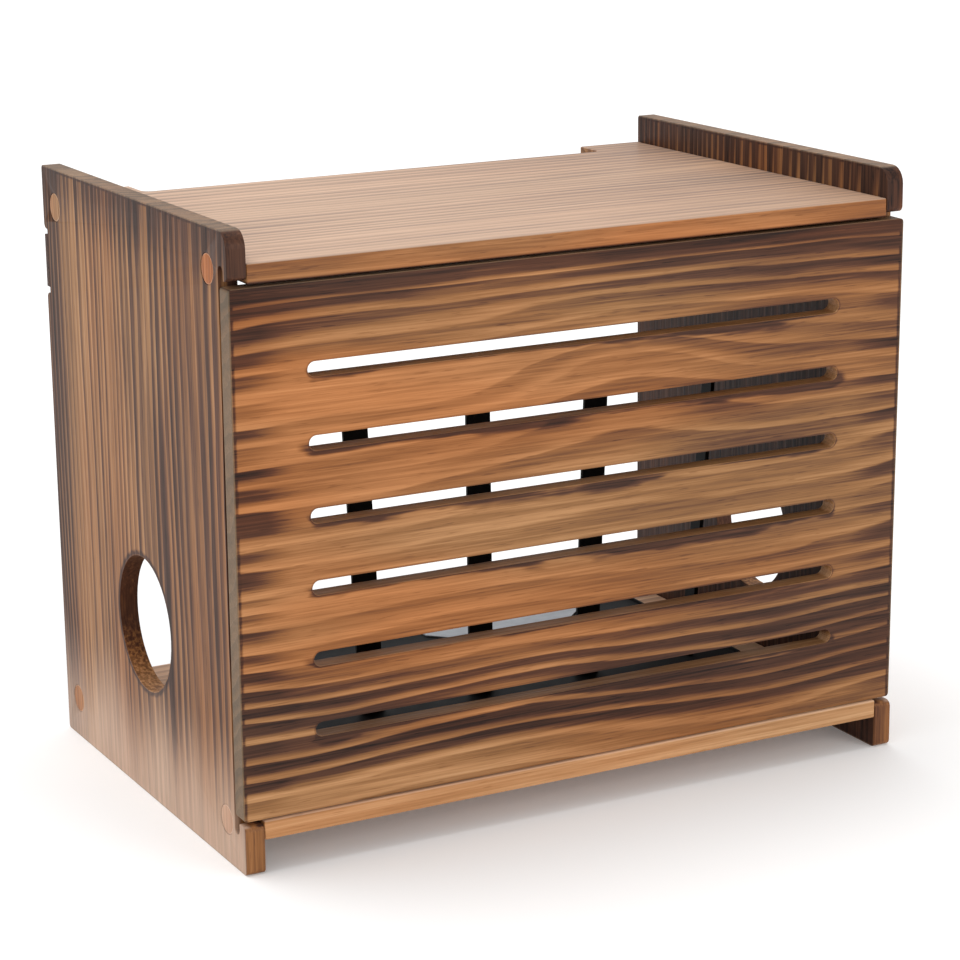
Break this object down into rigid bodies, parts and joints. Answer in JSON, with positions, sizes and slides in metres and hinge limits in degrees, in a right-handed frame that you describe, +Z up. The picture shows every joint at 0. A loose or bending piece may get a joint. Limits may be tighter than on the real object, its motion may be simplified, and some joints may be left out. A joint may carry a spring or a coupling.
{
  "type": "hay rack feeder",
  "caption": "Torched pine box feeder with a slotted lift-off front, an open back, a hole in each end and a black steel hay rack and tray that draws out of the back.",
  "frame": {"origin": "on the floor under the middle of the box", "axes": "+Z up, -Y out of the slotted front, +X to the right as the front is faced"},
  "size_m": [0.48, 0.3184, 0.4],
  "materials": {
    "torched_pine": "torched, brushed and clear-coated pine, satin",
    "plug_pine": "unburnt pine plug under the clear coat, satin",
    "charred_rail": "pine charred black, satin",
    "black_steel": "black powder coat, satin",
    "pale_liner": "pale grey coated sheet",
    "zinc_steel": "zinc plated"
  },
  "bodies": {
    "case": {"side_panel_left": "torched_pine", "side_panel_right": "torched_pine", "top_board": "torched_pine", "bottom_board": "torched_pine", "back_rail": "charred_rail", "case_screw_left_top_front": "zinc_steel", "case_screw_left_top_back": "zinc_steel", "case_screw_left_bottom_front": "zinc_steel", "case_screw_left_bottom_back": "zinc_steel", "case_screw_right_top_front": "zinc_steel", "case_screw_right_top_back": "zinc_steel", "case_screw_right_bottom_front": "zinc_steel", "case_screw_right_bottom_back": "zinc_steel", "plug_left_top_front": "plug_pine", "plug_left_top_back": "plug_pine", "plug_left_bottom_front": "plug_pine", "plug_left_bottom_back": "plug_pine", "plug_right_top_front": "plug_pine", "plug_right_top_back": "plug_pine", "plug_right_bottom_front": "plug_pine", "plug_right_bottom_back": "plug_pine", "rail_screw_left_lower": "zinc_steel", "rail_screw_left_upper": "zinc_steel", "rail_screw_right_lower": "zinc_steel", "rail_screw_right_upper": "zinc_steel", "magnet_left_lower": "zinc_steel", "magnet_left_upper": "zinc_steel", "magnet_right_lower": "zinc_steel", "magnet_right_upper": "zinc_steel"},
    "front": {"front_panel": "torched_pine", "keeper_left_lower": "zinc_steel", "keeper_left_upper": "zinc_steel", "keeper_right_lower": "zinc_steel", "keeper_right_upper": "zinc_steel"},
    "rack": {"hay_tray": "black_steel", "rack_bar_1": "black_steel", "rack_bar_2": "black_steel", "rack_bar_3": "black_steel", "rack_bar_4": "black_steel", "rack_bar_5": "black_steel", "rack_top_rail": "black_steel", "tray_liner": "pale_liner"}
  },
  "joints": [
    {"name": "front_panel_pull", "type": "slide", "parent": "case", "child": "front", "axis": [0, -1, 0], "range_m": [0, 0.06]},
    {"name": "hay_rack_slide", "type": "slide", "parent": "case", "child": "rack", "axis": [0, 1, 0], "range_m": [0, 0.16]}
  ]
}
